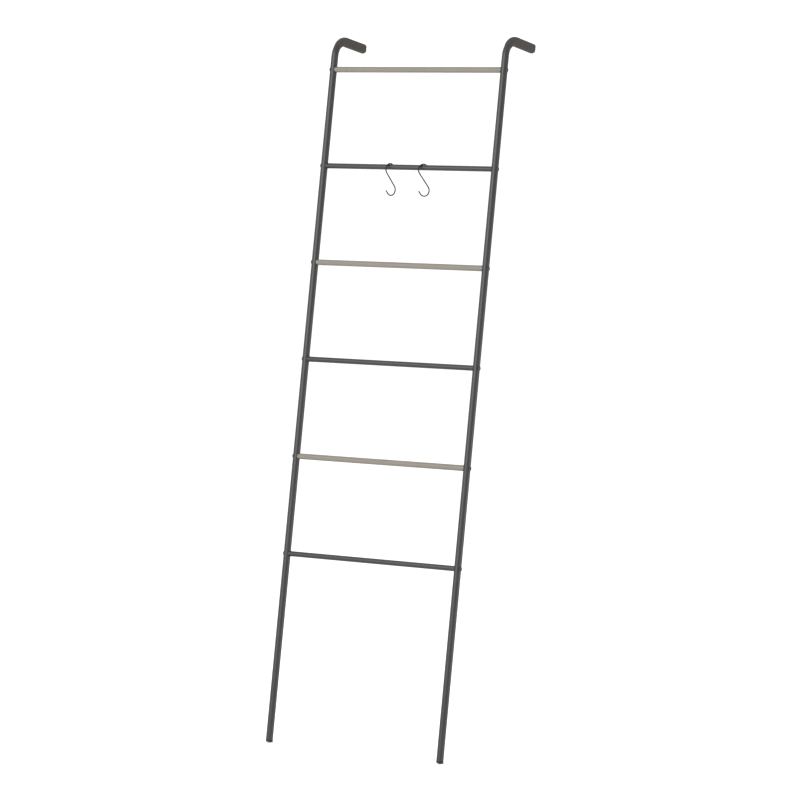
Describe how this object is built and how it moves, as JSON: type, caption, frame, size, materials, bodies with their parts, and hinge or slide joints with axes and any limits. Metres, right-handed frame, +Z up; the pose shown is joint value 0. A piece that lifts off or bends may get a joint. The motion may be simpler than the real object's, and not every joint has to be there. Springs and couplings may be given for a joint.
{
  "type": "leaning ladder towel rack",
  "caption": "Ladder towel rack that leans on a wall: bent dark steel rails with sleeved arms, alternating wood and steel rungs, and loose S-hooks.",
  "frame": {"origin": "on the floor, at the centre of the bottom of the bounding box", "axes": "+X along the rungs to the right rail, +Y towards the wall, +Z up; the rails lean back 10.65 degrees from +Z towards +Y"},
  "size_m": [0.4588, 0.4221, 1.5707],
  "materials": {
    "rail_paint": "fine matt powder coat, charcoal",
    "rung_paint": "fine matt powder coat, charcoal",
    "hook_paint": "satin coat, charcoal",
    "rung_wood": "grey-brown stain, matt",
    "sleeve_rubber": "matt moulded rubber, warm dark grey",
    "foot_rubber": "matt moulded rubber, near black",
    "screw_black": "black oxide, satin",
    "insert_brass": "plain turned brass",
    "plug_steel": "zinc plated"
  },
  "bodies": {
    "rack": {"left_rail": "rail_paint", "right_rail": "rail_paint", "left_wall_sleeve": "sleeve_rubber", "right_wall_sleeve": "sleeve_rubber", "left_foot_plug": "foot_rubber", "right_foot_plug": "foot_rubber", "rung_1_wood": "rung_wood", "rung_2_steel": "rung_paint", "rung_3_wood": "rung_wood", "rung_4_steel": "rung_paint", "rung_5_wood": "rung_wood", "rung_6_steel": "rung_paint", "rung_1_left_screw": "screw_black", "rung_1_right_screw": "screw_black", "rung_2_left_screw": "screw_black", "rung_2_right_screw": "screw_black", "rung_3_left_screw": "screw_black", "rung_3_right_screw": "screw_black", "rung_4_left_screw": "screw_black", "rung_4_right_screw": "screw_black", "rung_5_left_screw": "screw_black", "rung_5_right_screw": "screw_black", "rung_6_left_screw": "screw_black", "rung_6_right_screw": "screw_black", "rung_1_left_insert": "insert_brass", "rung_1_right_insert": "insert_brass", "rung_2_left_plug": "plug_steel", "rung_2_right_plug": "plug_steel", "rung_3_left_insert": "insert_brass", "rung_3_right_insert": "insert_brass", "rung_4_left_plug": "plug_steel", "rung_4_right_plug": "plug_steel", "rung_5_left_insert": "insert_brass", "rung_5_right_insert": "insert_brass", "rung_6_left_plug": "plug_steel", "rung_6_right_plug": "plug_steel"},
    "left_hook": {"left_hook": "hook_paint"},
    "right_hook": {"right_hook": "hook_paint"}
  },
  "joints": [
    {"name": "left_hook_swing", "type": "hinge", "parent": "rack", "child": "left_hook", "pos_m": [-0.046, 0.0375, 1.28203], "axis": [1, 0, 0], "range_deg": [-60, 60]},
    {"name": "right_hook_swing", "type": "hinge", "parent": "rack", "child": "right_hook", "pos_m": [0.04, 0.0375, 1.28203], "axis": [1, 0, 0], "range_deg": [-60, 60]}
  ]
}
